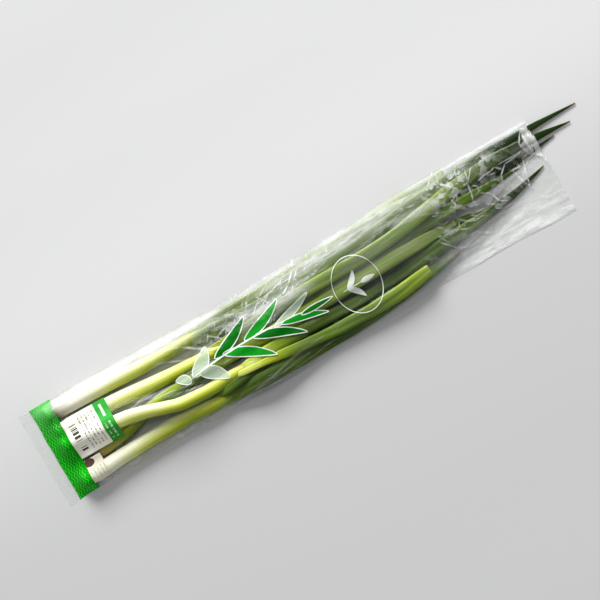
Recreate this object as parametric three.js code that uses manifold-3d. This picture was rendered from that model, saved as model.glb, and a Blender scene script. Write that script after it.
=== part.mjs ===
// A bunch of five large spring onions lying flat in its clear film bag, with two paper labels on the film.
// Millimetres, +Z up. +X runs from the roots to the leaf tips. The origin is on the flat underside of the
// bag, under the middle of the part's bounding box.
//
// Each onion grew as one: a pale shaft of rolled sheaths with its trimmed roots, and the hollow green leaves
// that fan out of it. It has a solid for each of the two colours, which meet where the leaves part. Every
// stretch of shaft or leaf is a strand, whose route is given as seen from above. Its height isn't given: the
// strands are laid one after the other, and each rests on the film or on what is already there, as stiff as
// a leaf is. The film is then drawn over them like a skin.
import * as THREE from "three";
import { mergeVertices } from "three/addons/utils/BufferGeometryUtils.js";
import Module from "manifold-3d";

const wasm = await Module();
wasm.setup();

// The bag: a flat tube of film, welded shut at the root end and open at the leaf end
const SEAL_X = -325; // outer edge of the weld
const MOUTH_X = 323; // open edge, which three leaf tips stand out of
const BAG_HALF = 58; // half of the bag's width, lying empty
const FILM = 0.6; // thickness of the film
const WELD_HEIGHT = 1.2; // both films together
const EMPTY_HEIGHT = 2.4; // of the bag where nothing is in it
const AIR = 1.8; // between the film and what it covers
const FALL = 0.22; // how steeply the film comes down from a high place, along the bunch
const ROOT_RISE = 1.3; // how steeply it rises from the weld
const TIP_X = 381; // the longest leaf's tip
const MIDDLE_X = (SEAL_X + TIP_X) / 2;

// How the strands lie
const GAP = 0.35; // between an onion and its neighbour or the film
const STEP = 15; // between two sections of a strand, or two of the film; also the width of the weld
const SHAFT_SIDES = 12;
const LEAF_SIDES = 10;
const SOFT = 0.86; // leaves that meet edge to edge give way to this share of their width
const DROOP = 0.0018; // how fast a strand bends down from what holds it up, per square millimetre
const DROOP_REACH = 50; // past this distance it goes on down in a straight line
const FORK_BLEND = 75; // a leaf leaves the height of its shaft over this length
const LEAF_FLATNESS = 0.48; // height of a leaf's section over its width

const ROOT_STUBS = 9; // trimmed roots on each onion
const ROOT_LENGTH = 8;
const PALE = 0xe3e8c4; // the shafts
const GREEN = 0x5c8438; // the leaves

// Routes as [x, y, half width]. A leaf starts inside its shaft, and ends in a tip or in a straight cut.
const ONIONS = [
  {
    name: "spring_onion_1", // along the bag's upper edge
    shaft: [[-281, 40.5, 8.4], [-230, 38.5, 8.2], [-165, 35.5, 7.8], [-105, 35, 6.6], [-80, 34, 4]],
    fork: -120,
    leaves: [
      { layer: 4, route: [[-150, 35.5, 4.5], [-90, 32.5, 6.5], [-30, 28.5, 7.5], [60, 30, 7.5], [120, 35, 7.5],
          [180, 41, 6.8], [240, 45.5, 6], [300, 47.5, 4.5], [TIP_X, 46, 0.8]] },
      { layer: 0, route: [[-150, 36.5, 4.5], [-90, 40.5, 5.5], [-30, 40.5, 6.5], [40, 41.5, 7.5],
          [110, 45, 8], [170, 49, 7.5], [216, 51, 5.8]] },
      { layer: 3, route: [[-135, 33.5, 4], [-70, 25, 5.5], [20, 24, 6.5], [90, 24, 6.5], [165, 22, 6.5],
          [230, 25.5, 6], [303, 27, 0.8]] },
    ],
  },
  {
    name: "spring_onion_2", // comes out from under the label, beside the first
    shaft: [[-280, 20.5, 8.8], [-230, 18.5, 8.6], [-165, 12.5, 8.2], [-100, 9, 7], [-75, 8.5, 4]],
    fork: -110,
    leaves: [
      { layer: 7, route: [[-140, 12, 4.5], [-70, 13, 7], [0, 17, 8], [60, 17.5, 8], [120, 19, 8], [180, 27, 8],
          [240, 35, 7.5], [300, 36.5, 5.5], [366, 31.5, 0.8]] },
      { layer: 5, route: [[-130, 10, 4], [-60, 4.5, 6.5], [30, 9, 7.5], [100, 12, 7.5], [165, 14, 7.5],
          [220, 15, 6], [290, 15, 0.8]] },
      { layer: 2, route: [[-120, 11, 4], [-50, 11, 5.5], [40, 14, 6], [110, 18, 6], [190, 20, 5.5],
          [265, 21, 4.5], [343, 27, 0.8]] },
    ],
  },
  {
    name: "spring_onion_3", // the lower one, which the fourth crosses
    shaft: [[-262, -21, 7.2], [-225, -17, 7.2], [-190, -8.5, 7.2], [-150, -5.5, 7.2], [-105, -3.5, 6.2],
      [-85, -3, 4]],
    fork: -115,
    leaves: [
      { layer: 6, route: [[-140, -4.5, 4], [-70, -4, 6.5], [20, -3, 8], [100, -1, 8.4],
          [143, -0.8, 7.6], [177, -0.6, 5.6], [210, -1.8, 2.8], [232, -4.5, 0.8]] },
      { layer: 1, route: [[-130, -4, 4], [-60, -8, 5.5], [40, -11, 6.5], [110, -12, 6.5], [180, -10, 5],
          [246, -6, 0.8]] },
    ],
  },
  {
    name: "spring_onion_4", // bends down across the third
    shaft: [[-281, 3, 8.4], [-230, -2.5, 8.2], [-200, -8.5, 7.9], [-175, -16.5, 7.6], [-150, -22, 7.3],
      [-100, -23, 7.2], [-65, -21.5, 6.4], [-40, -21, 4]],
    fork: -75,
    leaves: [
      { layer: 8, route: [[-100, -23, 5], [-40, -18.5, 7], [30, -20.5, 7], [95, -21.5, 6.5],
          [140, -17.8, 7.8], [177, -15, 8], [210, -13, 7.4], [260, -8.4, 4.7], [290, -2.7, 2.8],
          [316, 3.7, 0.8]] },
      { layer: 10, route: [[-105, -24.5, 5], [-50, -28.5, 5.8], [0, -34.5, 6], [50, -37.5, 7.2],
          [100, -37, 8.2], [127, -34.5, 7.8], [148, -31.7, 6.4]] },
    ],
  },
  {
    name: "spring_onion_5", // along the bag's lower edge
    shaft: [[-281, -40.5, 8.8], [-230, -37.5, 8.6], [-165, -37.5, 8.4], [-120, -41, 7.4], [-95, -41, 4]],
    fork: -125,
    leaves: [
      { layer: 5, route: [[-155, -39, 5], [-100, -42, 8], [-50, -43.5, 9], [0, -42.5, 9.8],
          [50, -42, 9.8], [100, -39.5, 9], [150, -33.5, 7.4], [188, -29, 3]] },
      { layer: 0, route: [[-145, -37, 4], [-85, -31, 5], [-20, -27, 6], [50, -26, 6.5], [120, -26, 6],
          [206, -22, 0.8]] },
    ],
  },
];

// The bag's two side folds as seen from above, as [x, y]
const UPPER_FOLD = [[SEAL_X, 57], [-290, 56], [-200, 56], [-90, 54], [40, 55], [110, 58], [180, 60],
  [250, 58.5], [MOUTH_X, 57]];
const LOWER_FOLD = [[SEAL_X, -BAG_HALF], [-290, -56], [-200, -55.5], [-60, -58], [40, -58], [130, -55],
  [200, -55], [MOUTH_X, -57.5]];
const TOP_POINTS = 25; // of the film's ring, from fold to fold
const FLAT_HALF = 46; // half width of the part of the underside that lies on the shelf
const FOLD_RISE = 0.4; // of the side folds, which don't lie on it

// The labels, each as its rectangle seen from above
const LABEL = 0.6; // thickness
const LABEL_GAP = 0.6; // to the film under it
const LABELS = [
  { name: "price_label", x: [-286, -231], y: [-19, 28], colour: 0xf1e9e0 },
  { name: "small_label", x: [-286, -265], y: [-48.5, -22], colour: 0xe6dfc9 },
];

const smooth = (t) => THREE.MathUtils.smoothstep(t, 0, 1);
const lerp = THREE.MathUtils.lerp;

// The value of one column of a route at x, on a smooth curve through the route's points.
function follow(route, x, column) {
  let i = 0;
  while (i < route.length - 2 && x > route[i + 1][0]) i++;
  const slope = (n) => {
    const before = route[Math.max(n - 1, 0)];
    const after = route[Math.min(n + 1, route.length - 1)];
    return (after[column] - before[column]) / (after[0] - before[0]);
  };
  const span = route[i + 1][0] - route[i][0];
  const t = THREE.MathUtils.clamp((x - route[i][0]) / span, 0, 1);
  const leave = route[i][column] + slope(i) * span * t;
  const arrive = route[i + 1][column] - slope(i + 1) * span * (1 - t);
  return lerp(leave, arrive, smooth(t));
}

// The sections of a strand: its two ends, and every place on the bunch's own grid between them.
function sectionsOf(route, flatness) {
  const start = route[0][0];
  const end = route[route.length - 1][0];
  const places = [start];
  for (let x = SEAL_X; x < end - STEP / 3; x += STEP) {
    if (x > start + STEP / 3) places.push(x);
  }
  places.push(end);
  return places.map((x) => {
    const wide = follow(route, x, 2);
    return { x, y: follow(route, x, 1), z: 0, wide, high: wide * flatness };
  });
}

// The section of a laid strand at any x, or null past its ends.
function sectionAt(sections, x) {
  const last = sections.length - 1;
  if (x < sections[0].x || x > sections[last].x) return null;
  let i = 0;
  while (i < last - 1 && x > sections[i + 1].x) i++;
  const t = (x - sections[i].x) / (sections[i + 1].x - sections[i].x);
  const between = (key) => lerp(sections[i][key], sections[i + 1][key], t);
  return { x, y: between("y"), z: between("z"), wide: between("wide"), high: between("high") };
}

// The height at which one section rests on another, or 0 where it passes beside it.
function heightOver(section, under, give, apart) {
  const reach = (section.wide + under.wide) * give + GAP;
  const off = Math.abs(section.y - under.y) / reach;
  if (off >= 1) return 0;
  return under.z + apart * (section.high + under.high + GAP) * Math.sqrt(1 - off * off);
}

function droopAt(distance) {
  const bent = Math.min(distance, DROOP_REACH);
  return DROOP * bent * (2 * distance - bent);
}

// Lays a strand on the film and on the strands that already lie there.
function lay(strand, laid) {
  const { sections, onion, shaft } = strand;
  const give = shaft ? SOFT : 1;
  const heights = sections.map((section) => {
    let own = 0;
    let others = FILM + GAP + section.high;
    for (const other of laid) {
      const under = sectionAt(other.sections, section.x);
      if (!under || other === shaft) continue;
      if (other.onion === onion) {
        const apart = smooth((section.x - onion.fork) / (2 * FORK_BLEND));
        own = Math.max(own, heightOver(section, under, give, apart));
      } else others = Math.max(others, heightOver(section, under, give, 1));
    }
    return { own, others };
  });
  sections.forEach((section, n) => {
    const held = sections.map((other, k) => {
      return Math.max(heights[k].own, heights[k].others) - droopAt(Math.abs(section.x - other.x));
    });
    section.z = Math.max(...held);
    if (!shaft) return;
    const end = shaft.sections[shaft.sections.length - 1];
    const inside = sectionAt(shaft.sections, section.x) || end;
    const loose = smooth((section.x - onion.fork) / FORK_BLEND);
    section.z = Math.max(lerp(inside.z, section.z, loose), section.x > onion.fork ? heights[n].others : 0);
  });
  laid.push(strand);
}

// A closed skin over rings of points: a cylinder, each vertex of which moves to its own place.
function skin(rings) {
  const last = rings.length - 1;
  const count = rings[0].length;
  const geometry = new THREE.CylinderGeometry(1, 1, last, count, last);
  const place = geometry.getAttribute("position");
  for (let i = 0; i < place.count; i++) {
    const ring = rings[Math.round(place.getY(i) + last / 2)];
    const turn = Math.atan2(place.getX(i), place.getZ(i)) / (2 * Math.PI);
    const point = ring[(Math.round(turn * count) + count) % count].clone();
    if (Math.hypot(place.getX(i), place.getZ(i)) < 0.5) {
      point.set(0, 0, 0);
      for (const other of ring) point.addScaledVector(other, 1 / count);
    }
    place.setXYZ(i, point.x, point.y, point.z);
  }
  return geometry;
}

// The tube of a strand, which can be grown on all sides to cut room for it.
function tube(sections, sides, grow = 0) {
  return skin(sections.map(({ x, y, z, wide, high }) => {
    return Array.from({ length: sides }, (_, i) => {
      const turn = ((i + 0.5) / sides) * 2 * Math.PI;
      const up = z + (high + grow) * Math.sin(turn);
      return new THREE.Vector3(x, y + (wide + grow) * Math.cos(turn), up);
    });
  }));
}

function solidOf(geometry) {
  const bare = new THREE.BufferGeometry();
  bare.setAttribute("position", geometry.getAttribute("position"));
  bare.setIndex(geometry.index);
  const merged = mergeVertices(bare, 1e-4);
  const vertProperties = merged.getAttribute("position").array;
  return new wasm.Manifold(
    new wasm.Mesh({ numProp: 3, vertProperties, triVerts: new Uint32Array(merged.index.array) }),
  );
}

function geometryOf(solid) {
  const { vertProperties, triVerts } = solid.getMesh();
  const geometry = new THREE.BufferGeometry();
  geometry.setAttribute("position", new THREE.BufferAttribute(vertProperties, 3));
  geometry.setIndex(new THREE.BufferAttribute(triVerts, 1));
  geometry.computeVertexNormals();
  return geometry;
}

// The shaft's foot swells a little, rounds off, and ends in the flat plate that the roots grow from.
function footed(sections) {
  const first = sections[0];
  const ring = (x, share) => ({ ...first, x, wide: first.wide * share, high: first.high * share });
  return [ring(first.x - 5, 0.6), ring(first.x - 3, 0.86), ring(first.x, 1), ring(first.x + 5, 1.03),
    ...sections.slice(1)];
}

// Trimmed roots: short tapered stubs that splay from the plate, in a spiral so that they spread evenly.
function rootStubs(first) {
  return Array.from({ length: ROOT_STUBS }, (_, i) => {
    const turn = i * Math.PI * (3 - Math.sqrt(5));
    const out = 0.48 * first.wide * Math.sqrt((i + 0.5) / ROOT_STUBS);
    const stub = new THREE.CylinderGeometry(0.45, 0.9, ROOT_LENGTH + 2 - (i % 3) * 1.5, 5);
    stub.translate(0, ROOT_LENGTH / 2, 0);
    stub.rotateZ(Math.PI / 2);
    stub.rotateY(0.05 * out * Math.cos(turn));
    stub.rotateZ(-0.05 * out * Math.sin(turn));
    stub.translate(first.x - 4, first.y + out * Math.sin(turn), first.z + out * Math.cos(turn));
    return solidOf(stub);
  });
}

// Lay all shafts, then the leaves from the lowest layer to the highest
const laid = [];
const shafts = new Map();
for (const onion of ONIONS) {
  const strand = { onion, sections: sectionsOf(onion.shaft, 1) };
  shafts.set(onion, strand);
  lay(strand, laid);
}
const leaves = ONIONS.flatMap((onion) => onion.leaves.map((leaf) => ({ onion, ...leaf })));
leaves.sort((a, b) => a.layer - b.layer);
for (const leaf of leaves) {
  leaf.sections = sectionsOf(leaf.route, LEAF_FLATNESS);
  leaf.shaft = shafts.get(leaf.onion);
  lay(leaf, laid);
}

// One solid for each onion, with room cut for the onions before it where their leaves press together
function onionSolid(onion, grow) {
  const shaft = shafts.get(onion);
  const pieces = [solidOf(tube(footed(shaft.sections), SHAFT_SIDES, grow))];
  for (const leaf of leaves) {
    if (leaf.onion === onion) pieces.push(solidOf(tube(leaf.sections, LEAF_SIDES, grow)));
  }
  if (!grow) pieces.push(...rootStubs(shaft.sections[0]));
  return wasm.Manifold.union(pieces);
}
const largest = (solid) => solid.decompose().reduce((a, b) => (a.volume() > b.volume() ? a : b));
const onionSolids = ONIONS.map((onion, i) => {
  let solid = onionSolid(onion, 0);
  for (const earlier of ONIONS.slice(0, i)) solid = solid.subtract(onionSolid(earlier, GAP));
  return {
    shaft: largest(solid.trimByPlane([-1, 0, 0], GAP / 2 - onion.fork)),
    leaves: largest(solid.trimByPlane([1, 0, 0], GAP / 2 + onion.fork)),
  };
});

// The film's height over the strands at one place, before it is drawn taut
function topOf(x, y) {
  let top = EMPTY_HEIGHT;
  for (const { sections } of laid) {
    const section = sectionAt(sections, x);
    if (!section) continue;
    const off = Math.abs(y - section.y) / (section.wide + AIR + FILM);
    if (off < 1) top = Math.max(top, section.z + (section.high + AIR + FILM) * Math.sqrt(1 - off * off));
  }
  return top;
}

// Draws the film taut across the bag: its height at each point is the highest of all the straight lines
// that pass over it between two others.
function taut(heights) {
  return heights.map((own, j) => {
    let top = own;
    for (let a = 0; a < j; a++) {
      for (let b = j + 1; b < heights.length; b++) {
        top = Math.max(top, lerp(heights[a], heights[b], (j - a) / (b - a)));
      }
    }
    return top;
  });
}

const stations = [];
for (let x = SEAL_X; x < MOUTH_X - STEP / 3; x += STEP) stations.push(x);
stations.push(MOUTH_X);
const across = (x, share) => lerp(follow(LOWER_FOLD, x, 1), follow(UPPER_FOLD, x, 1), share);
const shares = Array.from({ length: TOP_POINTS }, (_, j) => j / (TOP_POINTS - 1));
const FINER = 4; // samples for each point of the ring
const crossing = stations.map((x) => {
  const last = FINER * (TOP_POINTS - 1);
  const samples = Array.from({ length: last + 1 }, (_, j) => {
    return j % last ? topOf(x, across(x, j / last)) : EMPTY_HEIGHT;
  });
  return taut(samples).filter((_, j) => j % FINER === 0);
});
const film = stations.map((x, i) => {
  if (i === 0) return shares.map(() => WELD_HEIGHT);
  return shares.map((_, j) => {
    if (j % (TOP_POINTS - 1) === 0) return EMPTY_HEIGHT;
    const held = stations.map((other, k) => crossing[k][j] - FALL * Math.abs(other - x));
    return Math.min(Math.max(...held), EMPTY_HEIGHT + ROOT_RISE * (x - stations[1]));
  });
});

// The film's height at any place, on the straight lines between the points of its grid
function filmAt(x, y) {
  const i = Math.min(Math.floor((x - SEAL_X) / STEP), stations.length - 2);
  const along = (x - stations[i]) / (stations[i + 1] - stations[i]);
  const j = ((y - across(x, 0)) / (across(x, 1) - across(x, 0))) * (TOP_POINTS - 1);
  const left = Math.min(Math.max(Math.floor(j), 0), TOP_POINTS - 2);
  const row = (k) => lerp(film[k][left], film[k][left + 1], j - left);
  return lerp(row(i), row(i + 1), along);
}

// One ring of the bag: over the top from the lower fold to the upper one, then back along the underside, which
// is flat between two straight lines and rises a little to the folds.
function bagRing(x, i, inset) {
  const place = (share) => {
    return lerp(follow(LOWER_FOLD, x, 1) + inset, follow(UPPER_FOLD, x, 1) - inset, share);
  };
  const over = shares.map((share, j) => {
    const before = film[Math.max(i - 1, 0)][j];
    const after = film[Math.min(i + 1, film.length - 1)][j];
    const left = film[i][Math.max(j - 1, 0)];
    const right = film[i][Math.min(j + 1, TOP_POINTS - 1)];
    const steep = Math.hypot(1, (after - before) / (2 * STEP), ((right - left) / (2 * BAG_HALF)) * 12);
    return new THREE.Vector3(x, place(share), film[i][j] - inset * steep);
  });
  const fold = inset + (i ? FOLD_RISE : 0);
  const under = [[place(1), fold], [FLAT_HALF, inset], [-FLAT_HALF, inset], [place(0), fold]];
  return [...over, ...under.map(([y, z]) => new THREE.Vector3(x, y, z))].reverse();
}
const outside = stations.map((x, i) => bagRing(x, i, 0));
const inside = stations.slice(1).map((x, i) => bagRing(x, i + 1, FILM));
inside.push(inside[inside.length - 1].map((point) => point.clone().setX(MOUTH_X + 1)));
const bagSolid = solidOf(skin(outside)).subtract(solidOf(skin(inside)));

// A label lies on the film, bent as the film is.
function labelSolid({ x, y }) {
  const columns = [x[0], ...stations.filter((at) => at > x[0] && at < x[1]), x[1]];
  const creases = shares.filter((share) => columns.every((at) => {
    return across(at, share) > y[0] + 1 && across(at, share) < y[1] - 1;
  }));
  const rows = creases.length + 1;
  const box = new THREE.BoxGeometry(columns.length - 1, rows, LABEL, columns.length - 1, rows, 1);
  const place = box.getAttribute("position");
  for (let i = 0; i < place.count; i++) {
    const at = columns[Math.round(place.getX(i) + (columns.length - 1) / 2)];
    const row = Math.round(place.getY(i) + rows / 2);
    const b = row === 0 ? y[0] : row === rows ? y[1] : across(at, creases[row - 1]);
    place.setXYZ(i, at, b, filmAt(at, b) + LABEL_GAP + LABEL / 2 + place.getZ(i));
  }
  return solidOf(box);
}

const bunch = new THREE.Group();
bunch.name = "spring_onion_bunch";
function add(name, solid, material) {
  const mesh = new THREE.Mesh(geometryOf(solid), material);
  mesh.name = name;
  bunch.add(mesh);
}
ONIONS.forEach(({ name }, i) => {
  const { shaft, leaves: green } = onionSolids[i];
  add(`${name}_shaft`, shaft, new THREE.MeshStandardMaterial({ color: PALE, roughness: 0.4, metalness: 0 }));
  add(`${name}_leaves`, green, new THREE.MeshStandardMaterial({ color: GREEN, roughness: 0.5, metalness: 0 }));
});
add("bag", bagSolid, new THREE.MeshStandardMaterial({
  color: 0xe9eef0, roughness: 0.12, metalness: 0, transparent: true, opacity: 0.3,
}));
for (const label of LABELS) {
  add(label.name, labelSolid(label), new THREE.MeshStandardMaterial({
    color: label.colour, roughness: 0.6, metalness: 0,
  }));
}
bunch.position.x = -MIDDLE_X;

export default bunch;
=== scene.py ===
import math

import bmesh
import bpy
import numpy as np
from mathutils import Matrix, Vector


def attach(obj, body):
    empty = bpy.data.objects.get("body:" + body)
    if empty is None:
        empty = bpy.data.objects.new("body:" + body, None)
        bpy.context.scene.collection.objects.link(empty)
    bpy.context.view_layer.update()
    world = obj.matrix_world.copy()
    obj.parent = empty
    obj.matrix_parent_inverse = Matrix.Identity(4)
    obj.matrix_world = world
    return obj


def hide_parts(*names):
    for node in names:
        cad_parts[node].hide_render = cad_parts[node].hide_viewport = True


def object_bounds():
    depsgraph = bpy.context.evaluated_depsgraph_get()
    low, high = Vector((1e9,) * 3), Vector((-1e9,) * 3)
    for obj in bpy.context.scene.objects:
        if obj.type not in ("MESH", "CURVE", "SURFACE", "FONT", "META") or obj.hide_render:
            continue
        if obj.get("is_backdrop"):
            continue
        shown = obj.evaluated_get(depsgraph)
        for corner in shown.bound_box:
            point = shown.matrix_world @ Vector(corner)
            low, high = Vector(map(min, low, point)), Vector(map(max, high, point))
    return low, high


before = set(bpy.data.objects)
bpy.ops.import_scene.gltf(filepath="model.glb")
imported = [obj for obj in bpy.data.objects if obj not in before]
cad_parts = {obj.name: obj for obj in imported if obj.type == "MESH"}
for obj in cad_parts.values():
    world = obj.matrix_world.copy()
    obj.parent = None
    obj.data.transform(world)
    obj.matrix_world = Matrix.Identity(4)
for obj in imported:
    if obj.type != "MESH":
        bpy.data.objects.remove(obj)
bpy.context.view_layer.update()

# The camera looks straight down at the bunch, which lies across the picture with its leaf tips to the upper
# right, from far enough away that the height of the bunch hardly leans outwards.
CAMERA_HEIGHT, SENSOR_WIDTH = 2.2, 36
VIEW_WIDTH = 0.66  # what the picture takes in, in metres, at the height of the bunch's middle
BUNCH_MIDDLE = 0.01
TURN = math.radians(30.3)  # of the bunch in the picture
bpy.ops.object.camera_add(location=(-0.019, 0.0115, CAMERA_HEIGHT), rotation=(0, 0, -TURN))
camera = bpy.context.object
camera.data.sensor_width = SENSOR_WIDTH
camera.data.lens = SENSOR_WIDTH * (CAMERA_HEIGHT - BUNCH_MIDDLE) / VIEW_WIDTH
camera.data.clip_end = 20
bpy.context.scene.camera = camera

# A plain pale floor with painted light and shade: its tone changes a little across the bunch, painted palest
# just on the lamp's side of it and darkest just beyond it on the far side, like a broad shadow.
FLOOR_REACH = 0.4  # how far to each side its tone changes
FLOOR_PAINTED_LIGHT = [(0, 0.65), (0.2, 0.625), (0.38, 0.62), (0.66, 0.73), (0.84, 0.69), (1, 0.65)]
bpy.ops.mesh.primitive_plane_add(size=12, location=(0, 0, 0))
floor = bpy.context.object
floor.name = "floor"
floor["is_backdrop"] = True
pale = bpy.data.materials.new("pale floor")
pale.use_nodes = True
floor_nodes = pale.node_tree.nodes
parts, shade, painted_light_ramp = (floor_nodes.new(kind) for kind in ("ShaderNodeSeparateXYZ", "ShaderNodeMapRange",
                                                          "ShaderNodeValToRGB"))
shade.inputs["From Min"].default_value, shade.inputs["From Max"].default_value = -FLOOR_REACH, FLOOR_REACH
painted_light_ramp.color_ramp.interpolation = "EASE"
for place, _ in FLOOR_PAINTED_LIGHT[1:-1]:
    painted_light_ramp.color_ramp.elements.new(place)
for stop, (_, tone) in zip(painted_light_ramp.color_ramp.elements, FLOOR_PAINTED_LIGHT):
    stop.color = (tone, tone, tone, 1)
pale.node_tree.links.new(floor_nodes.new("ShaderNodeTexCoord").outputs["Object"], parts.inputs["Vector"])
pale.node_tree.links.new(parts.outputs["Y"], shade.inputs["Value"])
pale.node_tree.links.new(shade.outputs["Result"], painted_light_ramp.inputs["Fac"])
paint = pale.node_tree.nodes["Principled BSDF"].inputs
pale.node_tree.links.new(painted_light_ramp.outputs["Color"], paint["Base Color"])
paint["Roughness"].default_value = 0.6
paint["Specular IOR Level"].default_value = 0.1
floor.data.materials.append(pale)


# Studio light: a window-like lamp from the side that the picture's top shows, a soft one above, pale walls.
def lamp(name, place, size, power):
    bpy.ops.object.light_add(type="AREA", location=place)
    light = bpy.context.object
    light.name = name
    light.data.shape = "RECTANGLE"
    light.data.size, light.data.size_y = size
    light.data.energy = power
    light.rotation_euler = (-Vector(place)).to_track_quat("-Z", "Y").to_euler()


lamp("side window", (0.5, 4.0, 2.3), (2.6, 2.0), 300)
lamp("ceiling lamp", (0, 0.8, 2.6), (0.9, 0.9), 10)
world = bpy.data.worlds.new("surround")
bpy.context.scene.world = world
world.use_nodes = True
sky = world.node_tree.nodes["Background"]
sky.inputs["Color"].default_value = (0.98, 0.99, 1, 1)
heading = world.node_tree.nodes.new("ShaderNodeTexCoord")
parts = world.node_tree.nodes.new("ShaderNodeSeparateXYZ")
rise = world.node_tree.nodes.new("ShaderNodeMapRange")  # dark overhead, pale walls all round
rise.inputs["To Min"].default_value, rise.inputs["To Max"].default_value = 0.75, 0.05
world.node_tree.links.new(heading.outputs["Generated"], parts.inputs["Vector"])
world.node_tree.links.new(parts.outputs["Z"], rise.inputs["Value"])
world.node_tree.links.new(rise.outputs["Result"], sky.inputs["Strength"])
bpy.context.scene.view_settings.view_transform = "Standard"

# Where the onions lie
# Five large onions. Each has a pale shaft of rolled sheaths, and hollow leaves that start inside the shaft
# and fan out of it. The routes are in millimetres as seen from above, as x, y and half width.
MM = 0.001
MIDDLE_X = 28  # of the whole part, in the routes' own count
STEP = 5  # from one ring of a strand to the next
FLATNESS = 0.48  # height of a leaf over its width
FILM_UNDER = 0.95  # the height at which the film's lower layer holds the lowest strands
GAP = 0.35  # between strands that touch
SOFT = 0.86  # leaves that meet edge to edge give way to this share of their width
DROOP, DROOP_REACH = 0.0018, 50  # how fast a strand bends down from what holds it up, and over what length
FORK_BLEND = 75  # the length behind its fork over which a leaf comes free of the shaft
FORK_RISE = 50  # the length before it over which a leaf comes up to the strands that it lies on

# An onion parts into leaves at its fork and turns green there, or else at its greens. Its foot is brown over
# dry_foot, and a greener shaft is painted greener all along, as painted shade for the shaft that lies low
# between the others. A leaf's layer is its turn in being laid, and ripe goes from white at 0 to dark green at
# 1.
# A cut leaf ends blunt, opens is where it leaves its sheath if not at the fork, and fade makes it paler
# towards its end.
ONIONS = [
    {"shaft": [(-281, 40.5, 8.4), (-230, 38.5, 8.2), (-165, 35.5, 7.8), (-105, 35, 6.6), (-80, 34, 4)],
     "fork": -120, "dry_foot": 13,
     "leaves": [
         {"layer": 4, "ripe": 0.78, "route": [(-150, 35.5, 4.5), (-90, 32.5, 6.5), (-30, 28.5, 7.5),
          (60, 30, 7.5), (120, 35, 7.5), (180, 41, 6.8), (240, 45.5, 6), (300, 47.5, 4.5), (381, 46, 0.8)]},
         {"layer": 0, "ripe": 0.65, "cut": True, "route": [(-150, 36.5, 4.5), (-90, 40.5, 5.5),
          (-30, 40.5, 6.5), (40, 41.5, 7.5), (110, 45, 8), (170, 49, 7.5), (216, 51, 5.8)]},
         {"layer": 3, "ripe": 0.8, "route": [(-135, 33.5, 4), (-70, 25, 5.5), (20, 24, 6.5), (90, 24, 6.5),
          (165, 22, 6.5), (230, 25.5, 6), (303, 27, 0.8)]}]},
    {"shaft": [(-280, 20.5, 8.8), (-230, 18.5, 8.6), (-165, 12.5, 8.2), (-100, 9, 7), (-75, 8.5, 4)],
     "fork": -110, "greens": -92,
     "leaves": [
         {"layer": 7, "ripe": 0.71, "route": [(-140, 12, 4.5), (-70, 13, 7), (0, 17, 8), (60, 17.5, 8),
          (120, 19, 8), (180, 27, 8), (240, 35, 7.5), (300, 36.5, 5.5), (366, 31.5, 0.8)]},
         {"layer": 5, "ripe": 0.75, "route": [(-130, 10, 4), (-60, 4.5, 6.5), (30, 9, 7.5), (100, 12, 7.5),
          (165, 14, 7.5), (220, 15, 6), (290, 15, 0.8)]},
         {"layer": 2, "ripe": 0.95, "route": [(-120, 11, 4), (-50, 11, 5.5), (40, 14, 6), (110, 18, 6),
          (190, 20, 5.5), (265, 21, 4.5), (343, 27, 0.8)]}]},
    {"shaft": [(-262, -21, 7.2), (-225, -17, 7.2), (-190, -8.5, 7.2), (-150, -5.5, 7.2), (-105, -3.5, 6.2),
               (-85, -3, 4)],
     # painted shade: this shaft lies low between the others, so it is painted greener
     "fork": -115, "greener": 0.34, "dry_foot": 30,
     "leaves": [
         {"layer": 6, "ripe": 0.66, "route": [(-140, -4.5, 4), (-70, -4, 6.5), (20, -3, 8),
          (100, -1, 8.4), (143, -0.8, 7.6), (177, -0.6, 5.6), (210, -1.8, 2.8), (232, -4.5, 0.8)]},
         {"layer": 1, "ripe": 1.0, "route": [(-130, -4, 4), (-60, -8, 5.5), (40, -11, 6.5), (110, -12, 6.5),
          (180, -10, 5), (246, -6, 0.8)]}]},
    {"shaft": [(-281, 3, 8.4), (-230, -2.5, 8.2), (-200, -8.5, 7.9), (-175, -16.5, 7.6), (-150, -22, 7.3),
               (-100, -23, 7.2), (-65, -21.5, 6.4), (-40, -21, 4)],
     "fork": -75, "greens": -40,
     "leaves": [
         {"layer": 8, "ripe": 0.87, "route": [(-100, -23, 5), (-40, -18.5, 7), (30, -20.5, 7),
          (95, -21.5, 6.5), (140, -17.8, 7.8), (177, -15, 8), (210, -13, 7.4), (260, -8.4, 4.7),
          (290, -2.7, 2.8), (316, 3.7, 0.8)]},
         {"layer": 10, "ripe": 0.8, "fade": 0.22, "cut": True, "opens": -45, "route": [(-105, -24.5, 5),
          (-50, -28.5, 5.8), (0, -34.5, 6), (50, -37.5, 7.2), (100, -37, 8.2), (127, -34.5, 7.8),
          (148, -31.7, 6.4)]}]},
    {"shaft": [(-281, -40.5, 8.8), (-230, -37.5, 8.6), (-165, -37.5, 8.4), (-120, -41, 7.4), (-95, -41, 4)],
     "fork": -125,
     "leaves": [
         {"layer": 5, "ripe": 0.85, "cut": True, "route": [(-155, -39, 5), (-100, -42, 8), (-50, -43.5, 9),
          (0, -42.5, 9.8), (50, -42, 9.8), (100, -39.5, 9), (150, -33.5, 7.4), (188, -29, 3)]},
         {"layer": 0, "ripe": 0.95, "route": [(-145, -37, 4), (-85, -31, 5), (-20, -27, 6), (50, -26, 6.5),
          (120, -26, 6), (206, -22, 0.8)]}]},
]


def ease(t):
    """From 0 to 1 with a soft start and end."""
    t = np.clip(t, 0, 1)
    return t * t * (3 - 2 * t)


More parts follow.
